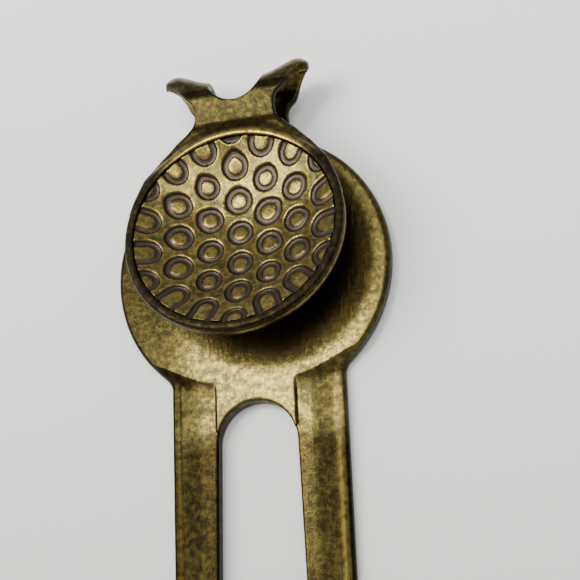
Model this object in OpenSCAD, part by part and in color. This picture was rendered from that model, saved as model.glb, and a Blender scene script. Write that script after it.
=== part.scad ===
// Divot repair tool with a spring clip and a dimpled golf-ball medallion.
// The tool lies on its back: +Z is up, the prongs point to -Y, and the origin is
// the centre of the round head on its flat back face. All sizes are millimetres.

/* [Head] */
// Diameter of the round head
head_d = 30; // [26:0.5:34]
// Thickness of the head
head_t = 2; // [1.6:0.1:2.6]
// Rounding of the head's rim
head_round = 0.6; // [0.3:0.1:0.7]

/* [Prongs] */
// Width over both prongs
fork_w = 18.8; // [17:0.2:21]
// Width of the slot between the prongs, at its round end
slot_w = 8.4; // [7:0.2:9]
// Distance from the head's centre to the slot's round end
slot_y = 14.6; // [14:0.2:16]
// Distance from the head's centre to the prong tips
prong_reach = 59; // [50:1:70]
// Width of one prong near its tip
tip_w = 2.4; // [1.8:0.1:3]
// Depth of the prongs' surface below the head's face
prong_step = 0.35; // [0.2:0.05:0.5]
// Fall of the outer bevel along each prong
prong_bevel = 0.6; // [0.3:0.1:0.8]

/* [Clip] */
// Thickness of the clip's sheet
sheet_t = 0.9; // [0.8:0.05:1]
// Outer height of the spring loops
loop_h = 4.9; // [4.5:0.1:5.5]
// Distance from the head's centre to the loops' bend centre, at their inner edge
loop_y = 18.1; // [17.9:0.05:18.6]
// How far the fold runs outwards and away from the head, per mm of width
fold_skew = 0.3; // [0:0.05:0.4]
// Rise of the front leaf's neck towards the loops, in degrees
neck_rise = 7; // [5:0.2:11]
// Half width of the opening between the loops
gap_r = 3; // [2.6:0.1:3.4]

/* [Pad] */
// Diameter of the pad over its rim
pad_d = 23.6; // [22:0.2:24]
// Height of the pad's rim
pad_rim_h = 1.75; // [1.5:0.05:2]
// Tilt of the pad, mouth end up, in degrees
pad_tilt = 9; // [8:0.5:11]
// Radius of the dish, a golf ball's radius
dish_r = 21.35; // [20:0.05:24]
// Diameter of the dimpled medallion
medal_d = 21.7; // [20:0.1:21.8]
// Thickness of the medallion
medal_t = 0.6; // [0.5:0.05:0.8]

/* [Dimples] */
// Distance between neighbouring dimples
dimple_pitch = 3.66; // [3.4:0.02:4]
// Shift of the dimple grid along the tool
dimple_shift = 0.6; // [0:0.1:2]
// Turn of the dimple grid, in degrees
dimple_turn = 1.9; // [0:0.1:10]
// Diameter of one dimple
dimple_d = 2.7; // [2.2:0.1:3]
// Depth of one dimple
dimple_depth = 0.25; // [0.1:0.05:0.35]

/* [Hidden] */
$fn = 64;
eps = 0.01;
fit_gap = 0.02;                       // clearance of the rivets and the medallion
brass = [0.66, 0.55, 0.27];
worn = [0.72, 0.62, 0.33];

head_r = head_d / 2;
top = head_t;                        // face of the head, where the clip lies
prong_top = head_t - prong_step;

// Rivets: two in line through the back leaf and the head
rivet_y = [-1.6, 11];
rivet_r = 0.8;
rivet_head_r = 1.5;
rivet_head_h = 0.4;
rivet_tail_r = 1.3;

// Leaves and loops
loop_mid_r = (loop_h - sheet_t) / 2;  // radius of the sheet's middle line
loop_z = top + loop_h / 2;
join_y = 17;                          // where the loops meet the back leaf
join_back = 0.7;                      // the same, back along the rising neck
neck_half = 4.4;                      // front neck at its narrowest
back_half = 4.9;                      // back neck at its narrowest
neck_y = 16.5;
neck_fillet = 3.6;
slot_centre_y = loop_y + 2.35;        // centre of the round end between the loops
tongue_r = 5;
tongue_y = 1.4;

// Pad: centre of its rim plane, and the dish below that plane
pad_y = 2.45;
pad_z = top + 6.5;
pad_r = pad_d / 2;
medal_r = medal_d / 2;
dish_depth = dish_r - sqrt(dish_r * dish_r - medal_r * medal_r);
seat_r = dish_r + medal_t;            // the cup's seat under the medallion
cup_skin = 0.6;                       // the cup's own thickness there
under_r = seat_r + cup_skin;
rim_round = 0.5;
neck_from_y = 13.6;                   // the neck starts inside the cup's rim
ball_z = dish_r - dish_depth;         // centre of the dish's sphere over the rim plane

// Steps round a loop's half turn
loop_steps = 18;

// ---- Fork plate -------------------------------------------------------------

// Round disc with a rounded top and bottom edge
module rounded_disc(r, h, e) {
    rotate_extrude($fn = 96)
        union() {
            square([r - e, h]);
            translate([0, e]) square([r, h - 2 * e]);
            translate([r - e, e]) circle(e, $fn = 32);
            translate([r - e, h - e]) circle(e, $fn = 32);
        }
}

// Plan of one prong, on the +X side, from inside the head to its round tip
module prong_plan() {
    tip_x = fork_w / 2 - 1 - tip_w / 2;
    tip_y = prong_reach - tip_w / 2;
    waist_y = 33;                     // the prong keeps its width down to here
    union() {
        polygon([[slot_w / 2, -slot_y - slot_w / 2], [slot_w / 2, -8], [fork_w / 2, -8],
                 [fork_w / 2, -waist_y], [tip_x + tip_w / 2, -tip_y],
                 [tip_x - tip_w / 2, -tip_y], [slot_w / 2 + 0.3, -waist_y]]);
        translate([tip_x, -tip_y]) circle(tip_w / 2);
    }
}

// Side view of the prongs: full height at the head, thinner at the tips
module prong_side() {
    polygon([[-prong_reach, 0], [0, 0], [0, prong_top],
             [-40, prong_top], [-prong_reach, 1.1]]);
}

// Section across both prongs: flat inner strips and falling outer bevels
module prong_section() {
    half = fork_w / 2;
    strip = slot_w / 2 + 1.9;
    polygon([[-half, 0], [half, 0], [half, prong_top - prong_bevel],
             [strip, prong_top], [-strip, prong_top],
             [-half, prong_top - prong_bevel]]);
}

// Room over the prongs where their lower face runs up into the head
module prong_recess() {
    intersection() {
        linear_extrude(head_t + 1)
            for (side = [-1, 1])
                polygon([[side * slot_w / 2, -slot_y - 4], [side * slot_w / 2, -12.4],
                         [side * (fork_w / 2 + 0.4), -10.2],
                         [side * (fork_w / 2 + 0.4), -slot_y - 4]]);
        difference() {
            translate([-head_r, -head_r - 10, 0.5]) cube([head_d, head_r + 10, head_t]);
            translate([0, 1, 0])
                rotate([90, 0, 0])
                    linear_extrude(prong_reach) prong_section();
        }
    }
}

// Flat web of full height between the head and the slot's round end
module web() {
    linear_extrude(head_t)
        difference() {
            translate([-slot_w / 2, -slot_y - slot_w / 2])
                square([slot_w, slot_w]);
            translate([0, -slot_y - slot_w / 2]) circle(slot_w / 2);
        }
}

module fork_plate() {
    color(brass)
    difference() {
        union() {
            rounded_disc(head_r, head_t, head_round);
            web();
            intersection() {
                linear_extrude(head_t)
                    union() {
                        prong_plan();
                        mirror([1, 0]) prong_plan();
                    }
                rotate([90, 0, 90])
                    linear_extrude(fork_w, center = true) prong_side();
                translate([0, -6, 0])
                    rotate([90, 0, 0])
                        linear_extrude(prong_reach) prong_section();
            }
        }
        prong_recess();
        for (y = rivet_y)
            translate([0, y, -eps]) {
                cylinder(h = head_t + 2 * eps, r = rivet_r + fit_gap);
                cylinder(h = 0.5, r1 = rivet_tail_r, r2 = rivet_r);
            }
    }
}

// ---- Clip leaves ------------------------------------------------------------

// Neck outline: straight strip with a round waist on each side
module neck_plan(half, from_y, to_y, wide) {
    difference() {
        translate([-wide, from_y]) square([2 * wide, to_y - from_y]);
        for (side = [-1, 1])
            translate([side * (half + neck_fillet), neck_y])
                circle(neck_fillet);
        translate([0, slot_centre_y]) circle(gap_r);
    }
}

module clip_back_leaf() {
    color(brass)
    translate([0, 0, top])
    difference() {
        linear_extrude(sheet_t)
            union() {
                neck_plan(back_half, neck_y - 2.5, join_y, 6.2);
                translate([-tongue_r, tongue_y])
                    square([2 * tongue_r, neck_y - 2.5 - tongue_y + eps]);
                translate([0, tongue_y]) circle(tongue_r);
            }
        for (y = rivet_y)
            translate([0, y, -eps])
                cylinder(h = sheet_t + 2 * eps, r = rivet_r + fit_gap);
    }
}

// Neck's frame: Y runs down the sheet's middle plane from the top of the bend
module on_neck() {
    translate([0, loop_y - loop_mid_r * sin(neck_rise),
               loop_z + loop_mid_r * cos(neck_rise)])
        rotate([neck_rise, 0, 0])
            translate([0, -loop_y, 0])
                children();
}

// Pad's frame: origin in the middle of the rim's top plane
module on_pad() {
    translate([0, pad_y, pad_z])
        rotate([-pad_tilt, 0, 0])
            children();
}

// Half section of the cup: rounded rim, seat for the medallion, round underside
module cup_section() {
    difference() {
        union() {
            translate([0, -pad_rim_h])
                square([pad_r - rim_round, pad_rim_h]);
            translate([0, -pad_rim_h])
                square([pad_r, pad_rim_h - rim_round]);
            translate([pad_r - rim_round, -rim_round])
                circle(rim_round, $fn = 32);
            intersection() {
                translate([0, ball_z]) circle(under_r, $fn = 256);
                translate([0, -10]) square([pad_r, 10 - pad_rim_h + eps]);
            }
        }
        intersection() {
            translate([0, ball_z]) circle(seat_r, $fn = 256);
            translate([-pad_r, -10]) square([pad_r + medal_r, 12]);
        }
        translate([-pad_r, -20]) square([pad_r, 40]);
    }
}

// Shoulders that widen the neck into the pad, in the rim's plane
module shoulder_plan() {
    difference() {
        polygon([[-11, 4.2], [-10, 6.9], [-8.4, 9.2], [-6.2, 11.9],
                 [6.2, 11.9], [8.4, 9.2], [10, 6.9], [11, 4.2]]);
        circle(medal_r + 0.2, $fn = 96);
    }
}

module clip_front_leaf() {
    color(brass)
    union() {
        on_neck()
            translate([0, 0, -sheet_t / 2])
                linear_extrude(sheet_t)
                    neck_plan(neck_half, neck_from_y, loop_y - join_back, 7);
        on_pad() {
            rotate_extrude($fn = 96) cup_section();
            translate([0, 0, -pad_rim_h])
                linear_extrude(pad_rim_h - 0.05) shoulder_plan();
        }
    }
}

// ---- Spring loops -----------------------------------------------------------

// Angle round the bend at one step: -90 lies on the back leaf, 90 is the top
function bend_angle(i) = -90 + i * (180 + neck_rise) / loop_steps;

// Half width of the outer edge: it swells towards the fold, then narrows
function outer_half(a) =
    a < 20 ? 5.9 + 2 * cos((a - 20) * 90 / 110)
           : 4.75 + 3.15 * pow(cos((a - 20) * 0.98), 1.4);

// Inner edge: follows the round end of the opening, then runs straight
function inner_half(y) =
    y >= slot_centre_y ? gap_r
    : sqrt(max(0, gap_r * gap_r - pow(slot_centre_y - y, 2)));

// One station: [inner x, outer x, y, z, direction of the sheet's normal]
back_stations = [for (k = [0:3])
    let (y = join_y + k * (loop_y - join_y) / 4)
    [inner_half(y), back_outer(y), y, loop_z - loop_mid_r, -90]];
bend_stations = [for (i = [0:loop_steps])
    let (a = bend_angle(i), y = loop_y + loop_mid_r * cos(a))
    [inner_half(y), outer_half(a), y, loop_z + loop_mid_r * sin(a), a]];
neck_end = on_neck_point(loop_y - join_back);
front_stations = [
    [inner_half(loop_y - join_back), round_waist(neck_half, loop_y - join_back),
     neck_end[0], neck_end[1], 90 + neck_rise]];

// Half width of a neck beside its round waist
function round_waist(half, y) =
    half + neck_fillet - sqrt(neck_fillet * neck_fillet - pow(y - neck_y, 2));

// Half width of the back arms, from the neck's waist to the bend
function back_outer(y) =
    let (start = round_waist(back_half, join_y))
    start + (outer_half(-90) - start) * (y - join_y) / (loop_y - join_y);

// Y and Z of a point on the neck's middle plane
function on_neck_point(y) =
    [loop_y - loop_mid_r * sin(neck_rise) + (y - loop_y) * cos(neck_rise),
     loop_z + loop_mid_r * cos(neck_rise) + (y - loop_y) * sin(neck_rise)];

// Four corners of a station's section; the fold slants outwards by fold_skew
function station_ring(s) =
    let (ny = cos(s[4]) * sheet_t / 2, nz = sin(s[4]) * sheet_t / 2,
         slant = fold_skew * max(0, cos(s[4])) * (s[1] - s[0]))
    [[s[0], s[2] - ny, s[3] - nz], [s[1], s[2] + slant - ny, s[3] - nz],
     [s[1], s[2] + slant + ny, s[3] + nz], [s[0], s[2] + ny, s[3] + nz]];

module spring_loop() {
    stations = concat(back_stations, bend_stations, front_stations);
    n = len(stations);
    points = [for (s = stations) each station_ring(s)];
    sides = [for (i = [0:n - 2]) for (k = [0:3])
        let (a = 4 * i + k, b = 4 * i + (k + 1) % 4)
        each [[a, b, a + 4], [b, b + 4, a + 4]]];
    caps = [[3, 2, 1], [3, 1, 0],
            [4 * n - 4, 4 * n - 3, 4 * n - 2], [4 * n - 4, 4 * n - 2, 4 * n - 1]];
    polyhedron(points, concat(sides, caps), convexity = 4);
}

module clip_loop_right() {
    color(worn) spring_loop();
}

module clip_loop_left() {
    color(worn) mirror([1, 0, 0]) spring_loop();
}

// ---- Medallion --------------------------------------------------------------

// Dished disc that fills the cup, a golf ball's surface pressed the other way
module ball_medallion() {
    color(worn)
    on_pad()
        difference() {
            rotate_extrude($fn = 96)
                difference() {
                    intersection() {
                        translate([0, ball_z]) circle(seat_r - fit_gap, $fn = 256);
                        translate([0, -10]) square([medal_r - fit_gap, 10]);
                    }
                    translate([0, ball_z]) circle(dish_r, $fn = 256);
                }
            dimples();
        }
}

// Dimples in a hexagonal grid, each square to the dish
module dimples() {
    columns = 3;
    for (i = [-columns:columns], j = [-3:3]) {
        u = i * dimple_pitch * sqrt(3) / 2;
        v = (j + (i % 2 == 0 ? 0 : 0.5)) * dimple_pitch + dimple_shift;
        x = u * cos(dimple_turn) - v * sin(dimple_turn);
        y = u * sin(dimple_turn) + v * cos(dimple_turn);
        if (norm([x, y]) < medal_r - dimple_d / 2)
            translate([0, 0, ball_z])
                rotate([asin(y / dish_r), -asin(x / sqrt(dish_r ^ 2 - y ^ 2)), 0])
                    translate([0, 0, -dish_r - dimple_depth])
                        cylinder(h = 1, r = dimple_d / 2, $fn = 32);
    }
}

// ---- Rivets -----------------------------------------------------------------

module clip_rivets() {
    color(brass)
    for (y = rivet_y)
        translate([0, y, 0]) {
            cylinder(h = top + sheet_t, r = rivet_r);
            cylinder(h = 0.45, r1 = rivet_tail_r - 0.05, r2 = rivet_r);
            translate([0, 0, top + sheet_t])
                cylinder(h = rivet_head_h, r1 = rivet_head_r, r2 = rivet_head_r - 0.3);
        }
}

fork_plate();
clip_back_leaf();
clip_loop_left();
clip_loop_right();
clip_front_leaf();
ball_medallion();
clip_rivets();
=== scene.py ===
import math

import bmesh
import bpy
import numpy as np
from mathutils import Matrix, Vector


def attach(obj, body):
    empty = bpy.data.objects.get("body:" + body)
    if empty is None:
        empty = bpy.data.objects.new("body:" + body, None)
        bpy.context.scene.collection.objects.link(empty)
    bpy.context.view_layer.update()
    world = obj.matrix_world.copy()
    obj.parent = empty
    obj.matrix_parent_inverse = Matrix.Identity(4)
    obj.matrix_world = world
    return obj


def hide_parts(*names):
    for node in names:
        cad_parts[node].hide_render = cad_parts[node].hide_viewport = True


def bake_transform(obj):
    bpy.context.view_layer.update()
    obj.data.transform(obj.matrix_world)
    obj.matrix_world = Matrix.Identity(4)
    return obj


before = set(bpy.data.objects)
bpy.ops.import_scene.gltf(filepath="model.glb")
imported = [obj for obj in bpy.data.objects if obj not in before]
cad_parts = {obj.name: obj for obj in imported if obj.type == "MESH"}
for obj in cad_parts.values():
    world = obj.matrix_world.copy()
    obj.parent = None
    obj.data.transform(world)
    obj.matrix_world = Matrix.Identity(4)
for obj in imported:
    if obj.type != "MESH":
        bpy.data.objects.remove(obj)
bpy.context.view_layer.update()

# Shapes are worked out in millimetres in the CAD frame, and meshes made in metres.
MM = 0.001

# ---- Camera: the photograph's viewing angle ----------------------------------
AZIMUTH, ELEVATION, ROLL = math.radians(37.94), math.radians(66.95), math.radians(-42.66)
DISTANCE = 147.15
TARGET = Vector((4.18, -3.17, 2.0))
SENSOR, LENS = 36, 87.34
back = Vector((math.sin(AZIMUTH) * math.cos(ELEVATION),
               -math.cos(AZIMUTH) * math.cos(ELEVATION), math.sin(ELEVATION)))
right = Vector((math.cos(AZIMUTH), math.sin(AZIMUTH), 0))
up = back.cross(right)
cam_x = math.cos(ROLL) * right + math.sin(ROLL) * up
cam_y = -math.sin(ROLL) * right + math.cos(ROLL) * up
cam_data = bpy.data.cameras.new("camera")
cam_data.sensor_width = SENSOR
cam_data.lens = LENS
cam_data.clip_start = 0.005
cam_data.clip_end = 10
cam = bpy.data.objects.new("camera", cam_data)
bpy.context.scene.collection.objects.link(cam)
cam.matrix_world = (Matrix.Translation((TARGET + DISTANCE * back) * MM)
                    @ Matrix((cam_x, cam_y, back)).transposed().to_4x4())
bpy.context.scene.camera = cam


# ---- Signed distances and the mesher -----------------------------------------
SETTLE_ROUNDS = 4                     # steps that draw each point onto the surface
SETTLE_REACH = 0.35                   # the longest such step, in grid steps


def smin(a, b, k):
    """The smaller of two distances, blended where they differ by less than k."""
    h = np.clip(0.5 + 0.5 * (b - a) / k, 0, 1)
    return b + (a - b) * h - k * h * (1 - h)


def smax(a, b, k):
    return -smin(-a, -b, k)


def ramp(x, a, b):
    """A smooth rise from 0 at x = a to 1 at x = b."""
    t = np.clip((x - a) / (b - a), 0, 1)
    return t * t * (3 - 2 * t)


def round_corner(p, q, r):
    """Both p and q below zero, with the outside corner rounded to radius r."""
    p, q = p + r, q + r
    return (np.minimum(np.maximum(p, q), 0)
            + np.hypot(np.maximum(p, 0), np.maximum(q, 0)) - r)


def slope(f, p, h):
    """The gradient of f at the points p, from differences over h each way."""
    g = np.empty_like(p)
    for k in range(3):
        e = np.zeros(3)
        e[k] = h
        g[:, k] = (f(*(p + e).T) - f(*(p - e).T)) / (2 * h)
    return g


def skin(f, low, high, step):
    """Points, quads and normals of the surface f = 0, with f below zero inside.

    Surface nets: each grid cell that the surface crosses gets one point, at the mean
    of the crossings on its edges, and each crossed edge joins its four cells' points.
    """
    axes = [np.arange(a, b + step, step) for a, b in zip(low, high)]
    values = f(*np.meshgrid(*axes, indexing="ij")).astype(np.float32)
    shape = np.array(values.shape) - 1
    total = np.zeros((*shape, 3), np.float32)
    count = np.zeros(shape, np.float32)
    crossings = []
    for axis in range(3):
        o1, o2 = (axis + 1) % 3, (axis + 2) % 3
        v = np.moveaxis(values, (axis, o1, o2), (0, 1, 2))
        near, far = v[:-1], v[1:]
        cross = (near < 0) != (far < 0)
        t = np.where(cross, near / np.where(cross, near - far, 1), 0)
        tot = np.moveaxis(total, (axis, o1, o2), (0, 1, 2))
        cnt = np.moveaxis(count, (axis, o1, o2), (0, 1, 2))
        n1, n2 = v.shape[1] - 1, v.shape[2] - 1
        for d1 in (0, 1):
            for d2 in (0, 1):
                c = cross[:, d1:n1 + d1, d2:n2 + d2]
                tot[..., axis] += t[:, d1:n1 + d1, d2:n2 + d2]
                tot[..., o1] += c * d1
                tot[..., o2] += c * d2
                cnt += c
        crossings.append((cross, near < 0))
    used = np.argwhere(count > 0)
    index = np.full(shape, -1)
    index[tuple(used.T)] = np.arange(len(used))
    p = total[tuple(used.T)] / count[tuple(used.T)][:, None]
    p = np.array(low) + (used + p) * step
    quads = []
    for axis in range(3):
        o1, o2 = (axis + 1) % 3, (axis + 2) % 3
        cross, inside_first = crossings[axis]
        idx = np.moveaxis(index, (axis, o1, o2), (0, 1, 2))
        at = np.argwhere(cross)
        keep = ((at[:, 1] > 0) & (at[:, 2] > 0)
                & (at[:, 1] < idx.shape[1]) & (at[:, 2] < idx.shape[2]))
        at = at[keep]
        i, j, k = at.T
        q = np.stack([idx[i, j - 1, k - 1], idx[i, j, k - 1], idx[i, j, k],
                      idx[i, j - 1, k]], 1)
        flip = ~inside_first[i, j, k]
        q[flip] = q[flip][:, ::-1]
        quads.append(q)
    quads = np.concatenate(quads)
    for _ in range(SETTLE_ROUNDS):
        g = slope(f, p, step * 0.2)
        move = -f(*p.T)[:, None] * g / np.maximum((g * g).sum(1), 0.05)[:, None]
        size = np.linalg.norm(move, axis=1)
        p += move * np.minimum(1, SETTLE_REACH * step / np.maximum(size, 1e-9))[:, None]
    g = slope(f, p, step * 0.25)
    normals = g / np.maximum(np.linalg.norm(g, axis=1), 1e-9)[:, None]
    return p, quads, normals


def edge_and_pit(f, p, n, h):
    """How convex and how hollow the surface is at each point, over the distance h.

    On a flat face f changes by h over the distance h; it changes less at an edge.
    """
    grad = np.maximum(np.linalg.norm(slope(f, p, 0.03), axis=1), 0.3)
    edge = 1 + f(*(p - n * h).T) / (h * grad)
    pit = 1 - f(*(p + n * h).T) / (h * grad)
    return np.clip(edge, 0, 1), np.clip(pit, 0, 1)


def make_piece(name, p, quads, normals, masks, material):
    """A smooth mesh piece from points in millimetres, closed where it was cut.

    The masks become point attributes, which the brass material reads.
    """
    used = np.unique(quads)
    new = np.full(len(p), -1)
    new[used] = np.arange(len(used))
    quads = new[quads]
    mesh = bpy.data.meshes.new(name)
    mesh.from_pydata((p[used] * MM).tolist(), [], quads.tolist())
    n_faces = len(mesh.polygons)
    bm = bmesh.new()
    bm.from_mesh(mesh)
    rim = [e for e in bm.edges if e.is_boundary]
    if rim:
        bmesh.ops.holes_fill(bm, edges=rim, sides=0)
        bm.to_mesh(mesh)
    bm.free()
    for key, values in masks.items():
        layer = mesh.attributes.new(key, "FLOAT", "POINT")
        layer.data.foreach_set("value", values[used].astype(np.float32))
    mesh.polygons.foreach_set("use_smooth", np.ones(len(mesh.polygons), bool))
    corner = np.empty(len(mesh.loops), np.int64)
    mesh.loops.foreach_get("vertex_index", corner)
    split = normals[used][corner]
    for cap in list(mesh.polygons)[n_faces:]:
        for index in cap.loop_indices:
            split[index] = cap.normal
    mesh.normals_split_custom_set(split.tolist())
    mesh.materials.append(material)
    mesh.update()
    obj = bpy.data.objects.new(name, mesh)
    bpy.context.scene.collection.objects.link(obj)
    return obj


# ---- Materials ----------------------------------------------------------------
class Nodes:
    """Short names for building a shader tree; textures are placed in millimetres."""

    def __init__(self, name):
        self.mat = bpy.data.materials.new(name)
        self.mat.use_nodes = True
        self.tree = self.mat.node_tree
        self.bsdf = self.tree.nodes["Principled BSDF"]
        coord = self.add("ShaderNodeTexCoord")
        scale = self.add("ShaderNodeVectorMath", operation="SCALE")
        scale.inputs["Scale"].default_value = 1 / MM
        self.link(coord.outputs["Object"], scale.inputs[0])
        self.place = scale.outputs[0]

    def add(self, kind, **values):
        node = self.tree.nodes.new(kind)
        for key, value in values.items():
            setattr(node, key, value)
        return node

    def link(self, a, b):
        self.tree.links.new(a, b)

    def stretched(self, sx, sy, sz):
        node = self.add("ShaderNodeVectorMath", operation="MULTIPLY")
        node.inputs[1].default_value = (sx, sy, sz)
        self.link(self.place, node.inputs[0])
        return node.outputs[0]

    def noise(self, scale, detail=4, rough=0.55, place=None, distort=0.0):
        node = self.add("ShaderNodeTexNoise")
        node.inputs["Scale"].default_value = scale
        node.inputs["Detail"].default_value = detail
        node.inputs["Roughness"].default_value = rough
        node.inputs["Distortion"].default_value = distort
        self.link(place or self.place, node.inputs["Vector"])
        return node.outputs["Fac"]

    def spots(self, scale):
        node = self.add("ShaderNodeTexVoronoi")
        node.inputs["Scale"].default_value = scale
        self.link(self.place, node.inputs["Vector"])
        return node.outputs["Distance"]

    def curve(self, value, *stops):
        """Maps a value through straight stretches between (in, out) stops."""
        node = self.add("ShaderNodeValToRGB")
        for element, (at, out) in zip(node.color_ramp.elements, stops, strict=True):
            element.position = at
            element.color = (out, out, out, 1)
        self.link(value, node.inputs["Fac"])
        return node.outputs["Color"]

    def mask(self, name):
        node = self.add("ShaderNodeAttribute", attribute_name=name)
        return node.outputs["Fac"]

    def math(self, op, a, b):
        node = self.add("ShaderNodeMath", operation=op, use_clamp=True)
        for socket, value in zip(node.inputs, (a, b)):
            if isinstance(value, (int, float)):
                socket.default_value = value
            else:
                self.link(value, socket)
        return node.outputs[0]

    def mix(self, fac, a, b, blend="MIX"):
        node = self.add("ShaderNodeMix", data_type="RGBA", blend_type=blend)
        for socket, value in ((node.inputs["Factor"], fac), (node.inputs[6], a),
                              (node.inputs[7], b)):
            if isinstance(value, tuple):
                socket.default_value = (*value, 1)
            elif isinstance(value, (int, float)):
                socket.default_value = value
            else:
                self.link(value, socket)
        return node.outputs[2]

    def bump(self, height, distance, strength, below=None):
        node = self.add("ShaderNodeBump")
        node.inputs["Distance"].default_value = distance
        node.inputs["Strength"].default_value = strength
        self.link(height, node.inputs["Height"])
        if below is not None:
            self.link(below, node.inputs["Normal"])
        return node.outputs["Normal"]


# Colours of aged brass, from worn to blackened, and of the stains in the dimples; the
# brightest and darkest also paint highlights and shade
BRIGHT = (0.40, 0.285, 0.060)
BRASS = (0.150, 0.120, 0.038)
OLIVE = (0.078, 0.065, 0.026)
UMBER = (0.034, 0.026, 0.012)
GRIME_AND_SHADE = (0.014, 0.012, 0.008)
MAUVE = (0.062, 0.050, 0.041)
ROSE = (0.19, 0.10, 0.045)
# Sizes of the patterns, as noise scales per millimetre
CLOUD, MOTTLE, GRAIN, BLUSH, DOTS, DOT_PATCHES, DENTS = 0.16, 1.5, 7.0, 0.45, 2.6, 0.7, 1.6
# Roughness of the special places; elsewhere it follows the mottling
DOT_ROUGH, RING_ROUGH, DARK_ROUGH, WORN_ROUGH = 0.4, 0.45, 0.5, 0.2
# Bump heights in metres
DENT_HEIGHT, GRAIN_HEIGHT = 0.00006, 0.00003


def grey(value):
    return (value, value, value)


def tarnished(name, gold, speck, streak=(1, 1, 1), bump=1.0, toned=True):
    """Aged brass: mottled metal, specks, grime in its hollows, worn edges, painted light and
    shade.

    gold is how rare the bright mottles are, speck how many dark dots there are, and
    streak how the dents are stretched. toned is off for meshes without attributes.
    """
    n = Nodes(name)
    cloud = n.noise(CLOUD, 5, 0.6, distort=0.4)
    mottle = n.noise(MOTTLE, 7, 0.66)
    grain = n.noise(GRAIN, 5, 0.62)
    base = n.mix(n.curve(cloud, (0.38, 0.0), (0.64, 1.0)), OLIVE, BRASS)
    base = n.mix(n.curve(mottle, (0.40 + 0.1 * gold, 0.0), (0.72, 0.75)), base, BRIGHT)
    base = n.mix(n.curve(mottle, (0.30, 0.55), (0.46, 0.0)), base, UMBER)
    base = n.mix(n.curve(grain, (0.34, 0.6), (0.50, 0.0)), base, UMBER)
    blush = n.math("MULTIPLY", n.curve(n.noise(BLUSH, 3), (0.58, 0.0), (0.74, 0.5)),
                   n.curve(grain, (0.45, 0.0), (0.6, 1.0)))
    base = n.mix(blush, base, ROSE)
    dots = n.curve(n.spots(DOTS), (0.12, 1.0), (0.26, 0.0))
    dots = n.math("MULTIPLY", dots,
                  n.curve(n.noise(DOT_PATCHES, 3), (0.5, 0.0), (0.64, speck)))
    base = n.mix(dots, base, GRIME_AND_SHADE)
    pits = n.curve(n.mask("pit"), (0.12, 0.0), (0.55, 0.85))
    base = n.mix(pits, base, GRIME_AND_SHADE)
    # Bright worn brass on rubbed edges; on the clip's ridge it is also a painted highlight.
    worn = n.math("MULTIPLY", n.curve(n.mask("worn"), (0.05, 0.0), (0.9, 1.0)),
                  n.curve(mottle, (0.36, 0.25), (0.52, 1.0)))
    base = n.mix(worn, base, BRIGHT)
    # Darkening: painted shade on the fork's sides and the clip's rim and cut edges, and
    # deeper tarnish in the dimple rings.
    dark = n.math("MULTIPLY", n.mask("dark"), n.curve(mottle, (0.3, 1.0), (0.7, 0.7)))
    base = n.mix(dark, base, GRIME_AND_SHADE)
    ring = n.math("MULTIPLY", n.mask("ring"), n.curve(grain, (0.35, 1.0), (0.72, 0.72)))
    base = n.mix(ring, base, MAUVE)
    # This multiplies the colour by the mesh's tone, which carries painted highlights and
    # painted shade.
    if toned:
        base = n.mix(1.0, base, n.mask("tone_and_painted_light"), "MULTIPLY")
    n.link(base, n.bsdf.inputs["Base Color"])
    n.bsdf.inputs["Metallic"].default_value = 1.0
    rough = n.curve(mottle, (0.3, 0.26), (0.7, 0.17))
    rough = n.mix(dots, rough, grey(DOT_ROUGH))
    rough = n.mix(ring, rough, grey(RING_ROUGH))
    rough = n.mix(dark, rough, grey(DARK_ROUGH))
    rough = n.mix(worn, rough, grey(WORN_ROUGH))
    n.link(rough, n.bsdf.inputs["Roughness"])
    dents = n.bump(n.noise(DENTS, 5, 0.6, n.stretched(*streak)), DENT_HEIGHT, 0.55 * bump)
    n.link(n.bump(grain, GRAIN_HEIGHT, 0.6 * bump, dents), n.bsdf.inputs["Normal"])
    return n.mat


fork_metal = tarnished("fork_brass_aged_painted_light", 0.4, 0.8, streak=(1.3, 0.35, 1.3))
clip_metal = tarnished("clip_brass_aged_painted_light", 0.7, 0.5)
medal_metal = tarnished("medallion_brass_aged", 0.6, 0.4, bump=0.7)
rivet_metal = tarnished("rivet_brass_aged", 0.5, 0.5, toned=False)

# ---- Fork plate ---------------------------------------------------------------
FORK_STEP = 0.18                      # grid step of the mesher
HEAD_R, HEAD_T = 15.0, 2.0            # the round head
PRONG_TOP = 1.65                      # height of the web's and the prongs' tops
FORK_HALF, WEB_Y = 9.4, 6             # half width over both prongs, and where it starts
SLOT_R, SLOT_Y = 4.2, 18.8            # the slot's round end
TAPER_Y, TAPER_INNER = 33, 4.5        # where the prongs start to taper
TIP_X, TIP_Y, TIP_R = 7.2, 57.8, 1.2  # the prongs' round tips
SCOOP_Y, SCOOP_RUN = 12.4, 1.9        # where a scoop leaves the head, and its wall's run
SCOOP_X, SCOOP_SPAN = 4.2, 5.4        # a scoop's inner end, and how far it reaches out
SCOOP_BOW = 0.22                      # how far a scoop's edge bows towards the head
SCOOP_OUT, SCOOP_DOWN = 0.3656, 0.9307  # the direction across a scoop's edge
BEVEL_X, BEVEL_WIDTH = 8.5, 0.22      # the worn ridge along each prong's hollow bevel


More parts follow.
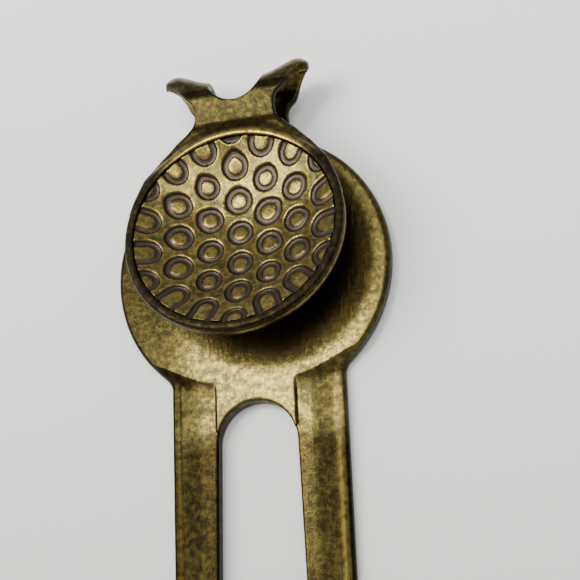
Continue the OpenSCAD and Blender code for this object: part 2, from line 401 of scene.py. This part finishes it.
def fork_top(ax, y):
    """Height of the upper face: head and web, milled scoops, hollow bevels."""
    z = np.interp(ax, [0, 5.9, 6.25, 7.9, 8.25, 8.55, 8.85, 9.4],
                  [PRONG_TOP, PRONG_TOP, 1.57, 1.16, 1.13, 1.21, 1.19, 1.08])
    z = smin(z, np.interp(-y, [36, 40, 59], [1.75, PRONG_TOP, 1.1]), 0.1)
    s = (ax - SCOOP_X) * SCOOP_OUT - (y + SCOOP_Y) * SCOOP_DOWN
    s = s - SCOOP_BOW * np.sin(np.clip((ax - SCOOP_X) / SCOOP_SPAN, 0, 1) * np.pi)
    wall = np.clip(1 - s / SCOOP_RUN, 0, 1)
    z = z + (HEAD_T - z) * wall ** 2.2
    step = ramp(ax + np.clip(-y - 17.4, 0, 1.4), 4.12, 4.42)
    return np.where(s <= 0, HEAD_T, HEAD_T * (1 - step) + z * step)


def fork_plan(x, y):
    """The outline from above: head, web, slot, and two tapering prongs."""
    ax = np.abs(x)
    disc = np.hypot(x, y) - HEAD_R
    bar = np.maximum(ax - FORK_HALF, y + WEB_Y)
    upper = smax(smin(disc, bar, 0.7), SLOT_R - np.hypot(x, y + SLOT_Y), 0.01)
    outer = np.interp(-y, [TAPER_Y, TIP_Y], [FORK_HALF, TIP_X + TIP_R])
    inner = np.interp(-y, [SLOT_Y, TAPER_Y, TIP_Y], [SLOT_R, TAPER_INNER, TIP_X - TIP_R])
    prong = np.maximum(ax - outer, inner - ax)
    prong = np.where(y > -TIP_Y, prong, np.hypot(ax - TIP_X, y + TIP_Y) - TIP_R)
    return np.where(y > -SLOT_Y, upper, prong)


def fork_solid(x, y, z):
    """The plate, with edges that are rounder on the head than on the prongs."""
    thick = np.maximum(z - fork_top(np.abs(x), y), -z)
    return round_corner(fork_plan(x, y), thick, 0.36 + 0.22 * ramp(y, -14, -10))


def fork_tone_and_painted_light(x, y, z):
    """A painted highlight on the web and low head, painted shade in the scoops, darker to the
    left.
    """
    # Painted highlight: lighter on the web and low on the head, where the lamp reflects.
    low = ramp(-y, 3, 11) * (1 - 0.88 * ramp(-x, 4.5, 9))
    head = 0.4 - 0.28 * ramp(-x, 5, 11) + 0.5 * low
    prong = np.where(x > 0, 0.2, 0.1)
    tone_and_painted_light = head + (prong - head) * ramp(-y - 0.25 * np.abs(x), 14.0, 18.0)
    tone_and_painted_light = tone_and_painted_light * (1 - 0.35 * ramp(np.abs(x), 5.9, 6.6) * ramp(-y, 14, 17))
    # Painted shade in the scoops.
    scoop = ramp(np.abs(x), 4.2, 5) * ramp(-y, 11, 12.5) * ramp(y, -17, -15)
    tone_and_painted_light = tone_and_painted_light * (1 - 0.5 * scoop)
    return np.where(z < 0.3, 0.4, tone_and_painted_light)


p, quads, normals = skin(fork_solid, (-15.4, -59.4, -0.4), (15.4, 15.4, 2.4), FORK_STEP)
edge, pit = edge_and_pit(fork_solid, p, normals, 0.5)
upper = normals[:, 2] > 0.3
bevel = np.exp(-((np.abs(p[:, 0]) - BEVEL_X) / BEVEL_WIDTH) ** 2) * (p[:, 1] < -19)
masks = {
    "worn": 0.5 * edge * upper + 0.8 * bevel * upper,
    "pit": pit,
    # Painted shade: faces that turn away from straight up, the sides and the underside, are
    # darkened.
    "dark": 0.9 * ramp(-normals[:, 2], -0.85, -0.35),
    "ring": np.zeros(len(p)),
    "tone_and_painted_light": fork_tone_and_painted_light(p[:, 0], p[:, 1], p[:, 2]),
}
fork = make_piece("fork_plate_body", p, quads, normals, masks, fork_metal)
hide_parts("fork_plate")
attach(fork, "fork")

# ---- Spring clip: back leaf, loops, neck and cup ------------------------------
CLIP_STEP = 0.165                     # grid step of the mesher
SHEET = 0.9                           # thickness of the strip
LOOP_Y, LOOP_Z, LOOP_R = 18.1, 4.45, 2.0  # the bend's axis and its radius at mid sheet
RISE = math.radians(7)                # slope of the neck
GAP_R, GAP_Y = 3.0, 20.45             # the opening between the loops
TONGUE_R, TONGUE_Y = 5, 1.4           # the back leaf's round end
NECK_LENGTH = 5.4
JOIN_Y, JOIN_BACK = 17.0, 0.7         # where the clip's mesh is cut into its pieces
PAD_AT, PAD_TILT = (2.45, 8.5), math.radians(9)  # the pad's place (Y, Z) and its tilt
PAD_R = 11.8
MEDAL_R, DISH_R, MEDAL_T = 10.85, 21.35, 0.6
CUP_WALL = 0.6                        # thickness of the cup under the medallion
BALL_Z = math.sqrt(DISH_R ** 2 - MEDAL_R ** 2)
BEND_END = 2 * LOOP_R * 0.5 * (math.pi + RISE)  # length of the bend along the strip
SMOOTH = 27                           # points over which the strip's width is smoothed


def pad_frame(y, z):
    """Y and Z in the pad's frame: its origin is the middle of the rim's top plane."""
    c, s = math.cos(PAD_TILT), math.sin(PAD_TILT)
    y, z = y - PAD_AT[0], z - PAD_AT[1]
    return y * c - z * s, y * s + z * c


def smoothed(values, width):
    kernel = np.hanning(width)
    return np.convolve(np.pad(values, width // 2, "edge"), kernel / kernel.sum(), "valid")


def strip_half():
    """The strip's half width along its length, from the tongue round to the pad.

    Returns the places along the strip, the half widths, and how much the slope of
    the strip's side stretches distances across it.
    """
    back_y = np.array([-4, 12.6, 13.6, 14.4, 15.5, 16.5, 17, 17.6])
    back_w = np.array([5, 5, 5.55, 5.5, 5.05, 4.9, 4.95, 5.25])
    bend_a = np.arange(-90, 101, 5.0)
    bend_w = np.interp(bend_a, [-90, -65, -40, -15, 5, 25, 45, 62, 80, 100],
                       [5.9, 6.45, 7.15, 7.75, 8.05, 8.1, 7.75, 6.85, 5.7, 4.95])
    neck_y = np.arange(17.9, 13.2, -0.3)
    neck_w = 8.0 - np.sqrt(3.6 ** 2 - (neck_y - 16.5) ** 2)
    s = np.concatenate([back_y - LOOP_Y, np.radians(bend_a + 90) * LOOP_R,
                        BEND_END + LOOP_Y - neck_y, [BEND_END + 6.5]])
    w = np.concatenate([back_w, bend_w, neck_w, [7.4]])
    fine = np.arange(s[0], s[-1], 0.05)
    wide = np.interp(fine, s, w)
    wide = smoothed(wide, SMOOTH)
    return fine, wide, np.hypot(1, np.gradient(wide, fine))


STRIP_S, STRIP_W, STRIP_STRETCH = strip_half()
# How much further back the loops reach than the bend's radius, across the clip
FLARE_X = np.arange(3.0, 9.01, 0.1)
FLARE_Y = smoothed(np.interp(FLARE_X, [3, 4, 5.2, 6.2, 6.8, 7.4, 8.0, 8.6],
                             [0, 0.3, 0.86, 1.28, 1.42, 1.27, 0.78, 0.0]), 11)


def strip(x, y, z):
    """The folded strip: flat on the head, round the bend, and up the neck."""
    ax = np.abs(x)
    dy, dz = y - LOOP_Y, z - LOOP_Z
    slot = np.where(y < GAP_Y, GAP_R - np.hypot(x, y - GAP_Y), GAP_R - ax)
    flare = np.interp(ax, FLARE_X, FLARE_Y)
    reach = LOOP_R + flare * (dy > 0)
    k0 = np.hypot(dy / reach, dz / LOOP_R)
    k1 = np.hypot(dy / reach ** 2, dz / LOOP_R ** 2)
    across = k0 * (k0 - 1) / np.maximum(k1, 1e-6)
    along = LOOP_R * (np.arctan2(dz / LOOP_R, dy / reach) + math.pi / 2)
    c, s = math.cos(RISE), math.sin(RISE)
    back_along, up_off = dy * c + dz * s, dz * c - dy * s
    low = (dz < 0) & (dy < 0)
    high = (dz >= 0) & (back_along < 0)
    across = np.where(low, dz + LOOP_R, np.where(high, up_off - LOOP_R, across))
    along = np.where(low, dy, np.where(high, BEND_END - back_along, along))
    half = np.interp(along, STRIP_S, STRIP_W)
    side = (ax - half) / np.interp(along, STRIP_S, STRIP_STRETCH)
    tongue = np.where(y < TONGUE_Y, np.hypot(x, y - TONGUE_Y) - TONGUE_R, -9.0)
    side = np.where(low, np.maximum(side, tongue), side)
    side = np.maximum(np.maximum(side, slot), along - BEND_END - NECK_LENGTH)
    return round_corner(side, np.abs(across) - SHEET / 2, 0.2)


def cup(x, y, z):
    """The round cup with its rolled rim, and the shoulders that join it to the neck."""
    ly, lz = pad_frame(y, z)
    rho = np.hypot(x, ly)
    ball = np.hypot(rho, lz - BALL_Z)
    upper = round_corner(rho - PAD_R, np.abs(lz + 0.47) - 0.455, 0.44)
    lower = round_corner(rho - PAD_R + 0.07, np.abs(lz + 1.3) - 0.45, 0.3)
    bowl = np.maximum(ball - DISH_R - MEDAL_T - CUP_WALL, lz + 0.9)
    bowl = np.maximum(bowl, rho - PAD_R + 0.4)
    body = smin(smin(upper, lower, 0.06), bowl, 0.3)
    half = np.interp(ly, [3, 4.2, 6.9, 9.2, 11, 12.3], [11.3, 11.05, 10.05, 8.35, 6.5, 5.0])
    sides = np.maximum(np.maximum((np.abs(x) - half) * 0.8, ly - 12.2), 3 - ly)
    drop = 0.34 * ramp(rho, 11.2, 11.8) * ramp(ly, 6, 9.5)
    shoulders = round_corner(sides, np.maximum(lz + 0.09 + drop, -lz - 1.75), 0.3)
    return smin(body, shoulders, 0.35)


def clip_solid(x, y, z):
    """The strip and the cup as one, with the medallion's seat cut out of the cup."""
    ly, lz = pad_frame(y, z)
    rho = np.hypot(x, ly)
    seat = np.maximum(np.hypot(rho, lz - BALL_Z) - DISH_R - MEDAL_T, rho - MEDAL_R)
    front = np.where(z > 3.6, cup(x, y, z), 5.0)
    body = smin(strip(x, y, z), front, 1.1)
    return smax(body, -seat, 0.3)


p, quads, normals = skin(clip_solid, (-12.1, -9.8, 1.7), (12.1, 22.8, 10.8), CLIP_STEP)
edge, pit = edge_and_pit(clip_solid, p, normals, 0.4)
ly, lz = pad_frame(p[:, 1], p[:, 2])
rho = np.hypot(p[:, 0], ly)
on_neck = ramp(ly, 6.5, 9.5)
# The ridge where the neck meets the cup is painted bright: worn brass, and a painted
# highlight where the bend catches the lamp.
ridge = np.exp(-((rho - MEDAL_R - 0.3) / 0.36) ** 2) * on_neck * (lz > -1.2)
# Painted shade on the rim round the medallion and on the strip's cut edges.
rim = ramp(rho, 10.6, 10.95) * (1 - on_neck) * (lz > -0.95) * (ly < 9.5)
cut = ramp(np.abs(normals[:, 0]), 0.45, 0.8) * (ly > 8)
fold = ramp(p[:, 1], 19.2, 20.0) * (1 - cut) * edge
side = (lz < -1.0) * (rho > 11) * (1 - on_neck)
masks = {
    "worn": np.clip(ridge + 0.8 * fold + 0.5 * side, 0, 1),
    "pit": pit * (1 - 0.7 * (p[:, 1] > 15)),
    "dark": np.clip(0.9 * rim + 0.75 * cut, 0, 1),
    "ring": np.zeros(len(p)),
    # Tone: darker on the neck past the ridge, a painted highlight on the ridge, brighter on
    # the fold's edges.
    "tone_and_painted_light": 0.5 - 0.3 * ramp(ly, 10.9, 11.9) * (p[:, 1] < 19) + 0.5 * np.maximum(ridge, fold),
}
# Each face goes to the piece that its middle lies in
centre = p[quads].mean(1)
neck_back = ((centre[:, 1] - LOOP_Y) * math.cos(RISE)
             + (centre[:, 2] - LOOP_Z) * math.sin(RISE))
is_loop = np.where(centre[:, 2] < LOOP_Z, centre[:, 1] > JOIN_Y, neck_back > -JOIN_BACK)
groups = {
    "clip_back_leaf": (~is_loop & (centre[:, 2] < LOOP_Z) & (centre[:, 2] < 3.2), "fork"),
    "clip_front_leaf": (~is_loop & (centre[:, 2] > 3.2), "clip_arm"),
    "clip_loop_left": (is_loop & (centre[:, 0] < 0), "blend"),
    "clip_loop_right": (is_loop & (centre[:, 0] >= 0), "blend"),
}
for node, (chosen, body) in groups.items():
    piece = make_piece(node + "_body", p, quads[chosen], normals, masks, clip_metal)
    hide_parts(node)
    if body == "blend":
        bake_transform(piece)
    else:
        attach(piece, body)

# ---- Medallion: a golf ball's dimples pressed into a dish ---------------------
MEDAL_STEP = 0.13                     # grid step of the mesher
PITCH, SHIFT, TURN = 3.66, 0.6, math.radians(1.9)  # the dimples' hexagonal grid
DIMPLES_TO = 12.0                     # how far from the middle a dimple may be
SIZE_SPREAD, POINT_LOW, POINT_HIGH = 0.04, 0.02, 0.16
# A dimple's section: a button in the middle, a groove round it, and a lip outside
DIMPLE_AT = [0, 0.45, 0.72, 0.88, 1.08, 1.30, 1.48, 1.62]
DIMPLE_DEPTH = [0.10, 0.11, 0.15, 0.27, 0.31, 0.28, 0.05, 0.0]
draw = np.random.default_rng(7)
dimples = []
for i in range(-4, 5):
    for j in range(-4, 5):
        u = i * PITCH * math.sqrt(3) / 2
        v = (j + (0.5 if i % 2 else 0)) * PITCH + SHIFT
        dx = u * math.cos(TURN) - v * math.sin(TURN)
        dy = u * math.sin(TURN) + v * math.cos(TURN)
        if math.hypot(dx, dy) < DIMPLES_TO:
            dimples.append((dx, dy, 1 + SIZE_SPREAD * draw.normal(),
                            draw.uniform(POINT_LOW, POINT_HIGH)))


def dimple_field(x, y):
    """Distance from the nearest dimple's middle, for a dimple of the usual size.

    Dimples near the rim are stretched outwards, and those halfway out are pointed.
    """
    best = np.full(np.shape(x), 9.0)
    for cx, cy, size, point in dimples:
        far = math.hypot(cx, cy)
        ox, oy = x - cx, y - cy
        if far > 0.1:
            ux, uy = cx / far, cy / far
            out = ox * ux + oy * uy
            stretch = 1.5 * min(max((far - 7.9) / 1.2, 0), 1)
            slide = np.clip(out, 0, stretch)
            ox, oy = ox - slide * ux, oy - slide * uy
            near = np.hypot(ox, oy)
            aim = np.clip((ox * ux + oy * uy) / np.maximum(near, 1e-6), 0, 1)
            near = near * (1 - point * (far > 3) * (far < 8) * aim ** 10)
        else:
            near = np.hypot(ox, oy)
        best = np.minimum(best, near / size)
    return best


def medal_solid(x, y, z):
    """The dished disc with its dimples, in the pad's own frame."""
    rho = np.hypot(x, y)
    ball = np.hypot(rho, z - BALL_Z)
    depth = np.interp(dimple_field(x, y), DIMPLE_AT, DIMPLE_DEPTH)
    face = DISH_R + depth * ramp(MEDAL_R + 0.1 - rho, 0, 0.35) - ball
    back_face = ball - DISH_R - MEDAL_T + 0.02
    return smax(smax(face, back_face, 0.02), rho - MEDAL_R + 0.04, 0.25)


p, quads, normals = skin(medal_solid, (-11.1, -11.1, -3.8), (11.1, 11.1, 0.4), MEDAL_STEP)
field = dimple_field(p[:, 0], p[:, 1])
front = normals[:, 2] > 0.1
ring = ramp(field, 0.70, 0.86) * (1 - ramp(field, 1.40, 1.52)) * front
button = 1 - ramp(field, 0.55, 0.85)
lip = np.exp(-((field - 1.58) / 0.16) ** 2)
rho = np.hypot(p[:, 0], p[:, 1])
seam = ramp(rho, 10.55, 10.85) * (p[:, 1] < 6)
groove = np.exp(-((field - 1.38) / 0.1) ** 2)
masks = {
    "worn": np.clip(0.35 * lip + 0.25 * button, 0, 1) * front,
    "pit": 0.8 * seam + 0.4 * groove,
    "dark": 0.25 * ring,
    "ring": ring,
    "tone_and_painted_light": np.ones(len(p)),
}
c, s = math.cos(PAD_TILT), math.sin(PAD_TILT)
turn = np.array([[1, 0, 0], [0, c, s], [0, -s, c]])
p = p @ turn.T + np.array([0, *PAD_AT])
medal = make_piece("ball_medallion_body", p, quads, normals @ turn.T, masks, medal_metal)
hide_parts("ball_medallion")
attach(medal, "clip_arm")

# ---- Rivets: the CAD node stays, with a better material ------------------------
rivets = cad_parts["clip_rivets"].data
rivets.materials.clear()
rivets.materials.append(rivet_metal)


# ---- Floor, in metres ----------------------------------------------------------
def graded(tree, space, direction, start, end):
    """A map range node that rises evenly along a direction, from start to end."""
    coord = tree.nodes.new("ShaderNodeTexCoord")
    along = tree.nodes.new("ShaderNodeVectorMath")
    along.operation = "DOT_PRODUCT"
    along.inputs[1].default_value = direction
    tree.links.new(coord.outputs[space], along.inputs[0])
    rise = tree.nodes.new("ShaderNodeMapRange")
    rise.inputs["From Min"].default_value = start
    rise.inputs["From Max"].default_value = end
    tree.links.new(along.outputs["Value"], rise.inputs["Value"])
    return rise


FLOOR_HALF, FLOOR_Z = 1.5, -2e-5
floor_mesh = bpy.data.meshes.new("floor")
corners = [(-1, -1), (1, -1), (1, 1), (-1, 1)]
floor_mesh.from_pydata([(x * FLOOR_HALF, y * FLOOR_HALF, FLOOR_Z) for x, y in corners],
                       [], [(0, 1, 2, 3)])
floor = bpy.data.objects.new("floor", floor_mesh)
bpy.context.scene.collection.objects.link(floor)
paper = bpy.data.materials.new("pale_table")
paper.use_nodes = True
paper_tree = paper.node_tree
paper_bsdf = paper_tree.nodes["Principled BSDF"]
# Painted shade: the table's colour darkens towards the bottom of the view and lightens
# towards the top.
paper_rise = graded(paper_tree, "Object", (cam_y.x, cam_y.y, 0), -0.04, 0.04)
paper_tone = paper_tree.nodes.new("ShaderNodeMix")
paper_tone.data_type = "RGBA"
paper_tone.inputs[6].default_value = (0.62, 0.615, 0.585, 1)
paper_tone.inputs[7].default_value = (0.99, 0.99, 0.95, 1)
paper_tree.links.new(paper_rise.outputs["Result"], paper_tone.inputs["Factor"])
paper_tree.links.new(paper_tone.outputs[2], paper_bsdf.inputs["Base Color"])
paper_bsdf.inputs["Roughness"].default_value = 0.7
floor_mesh.materials.append(paper)


# ---- Lights, in metres and watts -----------------------------------------------
AIM = Vector((0, -0.005, 0))


def softbox(name, direction, distance, size, power):
    """A rectangular light at a distance from AIM, facing it."""
    lamp = bpy.data.lights.new(name, "AREA")
    lamp.shape = "RECTANGLE"
    lamp.size, lamp.size_y = size
    lamp.energy = power
    obj = bpy.data.objects.new(name, lamp)
    bpy.context.scene.collection.objects.link(obj)
    d = Vector(direction).normalized()
    obj.location = AIM + d * distance
    side = (cam_x - cam_x.dot(d) * d).normalized()
    obj.rotation_euler = Matrix((side, d.cross(side), d)).transposed().to_euler()


softbox("key", -0.485 * cam_x + 0.475 * cam_y + 0.735 * back, 0.6, (0.10, 0.07), 1.15)
softbox("top", -0.12 * cam_x + 0.36 * cam_y + 0.92 * back, 0.6, (0.28, 0.24), 1.2)
softbox("window", -0.80 * cam_x + 0.20 * cam_y + 0.56 * back, 0.7, (0.4, 0.4), 4.6)

world = bpy.data.worlds.new("studio")
bpy.context.scene.world = world
world.use_nodes = True
sky = world.node_tree
sky_rise = graded(sky, "Generated", (-0.10, 0.28, 0.955), -0.3, 0.8)
sky_rise.inputs["To Min"].default_value = 0.35
sky_rise.inputs["To Max"].default_value = 0.85
sky_light = sky.nodes["Background"]
sky_light.inputs["Color"].default_value = (0.95, 0.97, 1.0, 1)
sky.links.new(sky_rise.outputs["Result"], sky_light.inputs["Strength"])
